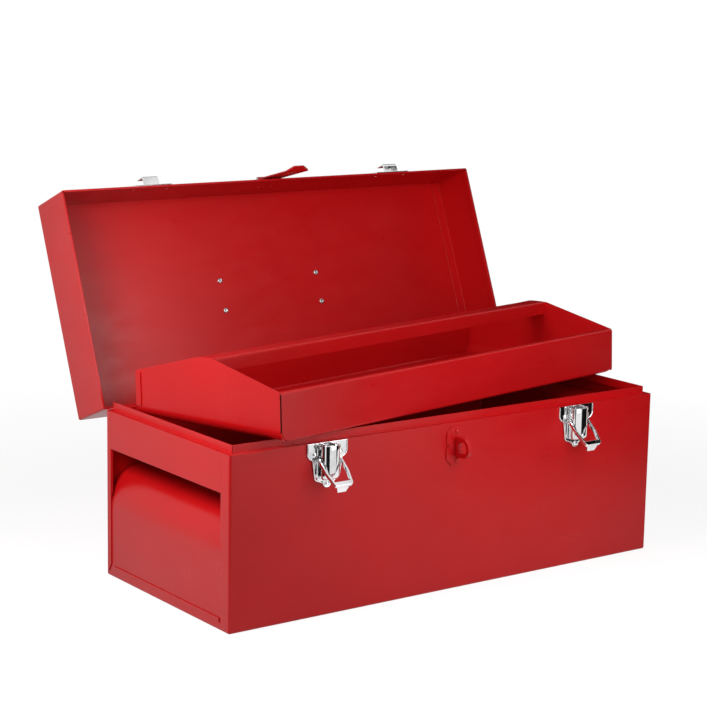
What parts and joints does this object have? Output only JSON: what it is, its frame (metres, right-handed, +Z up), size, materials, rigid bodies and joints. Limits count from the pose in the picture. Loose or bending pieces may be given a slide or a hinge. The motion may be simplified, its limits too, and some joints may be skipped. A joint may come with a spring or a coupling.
{
  "type": "hinged-lid steel tool box",
  "caption": "Folded steel tool box with a hinged lid, end hand holds, draw latches, a padlock hasp and a lift-out tote tray, shown open.",
  "frame": {"origin": "centre of the box's flat bottom", "axes": "+X to the right along the box, +Y from the latches to the hinge, +Z up"},
  "size_m": [0.5142, 0.3861, 0.3822],
  "materials": {
    "red_paint": "satin-gloss red powder coat on folded sheet steel",
    "bright_chrome": "polished chrome plate",
    "bright_steel": "bright zinc-plated steel",
    "black_grip": "moulded black plastic"
  },
  "bodies": {
    "box": {"body_wrap": "red_paint", "handle_band_left": "red_paint", "handle_band_right": "red_paint", "end_panel_left": "red_paint", "end_panel_right": "red_paint", "staple_plate": "red_paint", "staple_loop": "red_paint", "hinge_leaf_body": "red_paint", "hinge_rivets_body": "red_paint", "staple_rivets": "red_paint", "latch_plate_left": "bright_chrome", "latch_plate_right": "bright_chrome", "latch_rivets_left": "bright_chrome", "latch_rivets_right": "bright_chrome", "hinge_pin": "bright_steel", "latch_pin_left": "bright_steel", "latch_pin_right": "bright_steel"},
    "lid": {"lid_wrap": "red_paint", "lid_end_left": "red_paint", "lid_end_right": "red_paint", "hinge_leaf_lid": "red_paint", "hinge_rivets_lid": "red_paint", "strike_left": "bright_chrome", "strike_right": "bright_chrome", "strike_rivets": "bright_chrome", "hasp_leaf": "red_paint", "hasp_pin": "bright_steel", "hasp_rivets": "red_paint", "handle_bracket_left": "bright_chrome", "handle_bracket_right": "bright_chrome", "handle_rivets": "bright_steel"},
    "tray": {"tray_pan": "red_paint", "tray_end_left": "red_paint", "tray_end_right": "red_paint", "tray_rail": "red_paint"},
    "hasp": {"hasp_strap": "red_paint"},
    "carry_handle": {"carry_handle": "bright_chrome", "handle_grip": "black_grip"},
    "lever_left": {"latch_lever_left": "bright_chrome", "bail_pin_left": "bright_steel"},
    "lever_right": {"latch_lever_right": "bright_chrome", "bail_pin_right": "bright_steel"},
    "bail_left": {"latch_bail_left": "bright_chrome"},
    "bail_right": {"latch_bail_right": "bright_chrome"}
  },
  "joints": [
    {"name": "lid_hinge", "type": "hinge", "parent": "box", "child": "lid", "pos_m": [0, 0.1119, 0.1613], "axis": [1, 0, 0], "range_deg": [0, 112]},
    {"name": "tray_lift", "type": "hinge", "parent": "lid", "child": "tray", "pos_m": [0, 0.27485, 0.38232], "axis": [1, 0, 0], "range_deg": [-109.4, 0]},
    {"name": "hasp_hinge", "type": "hinge", "parent": "lid", "child": "hasp", "pos_m": [0, 0.21557, 0.36316], "axis": [-1, 0, 0], "range_deg": [0, 90]},
    {"name": "handle_hinge", "type": "hinge", "parent": "lid", "child": "carry_handle", "pos_m": [0, 0.21511, 0.24137], "axis": [1, 0, 0], "range_deg": [-20, 138]},
    {"name": "lever_left_hinge", "type": "hinge", "parent": "box", "child": "lever_left", "pos_m": [-0.1505, -0.1139, 0.1594], "axis": [1, 0, 0], "range_deg": [-100, 0]},
    {"name": "bail_left_hinge", "type": "hinge", "parent": "lever_left", "child": "bail_left", "pos_m": [-0.1505, -0.1137, 0.1483], "axis": [-1, 0, 0], "range_deg": [0, 105]},
    {"name": "lever_right_hinge", "type": "hinge", "parent": "box", "child": "lever_right", "pos_m": [0.1505, -0.1139, 0.1594], "axis": [1, 0, 0], "range_deg": [-100, 0]},
    {"name": "bail_right_hinge", "type": "hinge", "parent": "lever_right", "child": "bail_right", "pos_m": [0.1505, -0.1137, 0.1483], "axis": [-1, 0, 0], "range_deg": [0, 105]}
  ],
  "couplings": [
    {"joint": "tray_lift", "follows": "lid_hinge", "ratio": -0.9757},
    {"joint": "hasp_hinge", "follows": "lid_hinge", "ratio": 0.8}
  ]
}
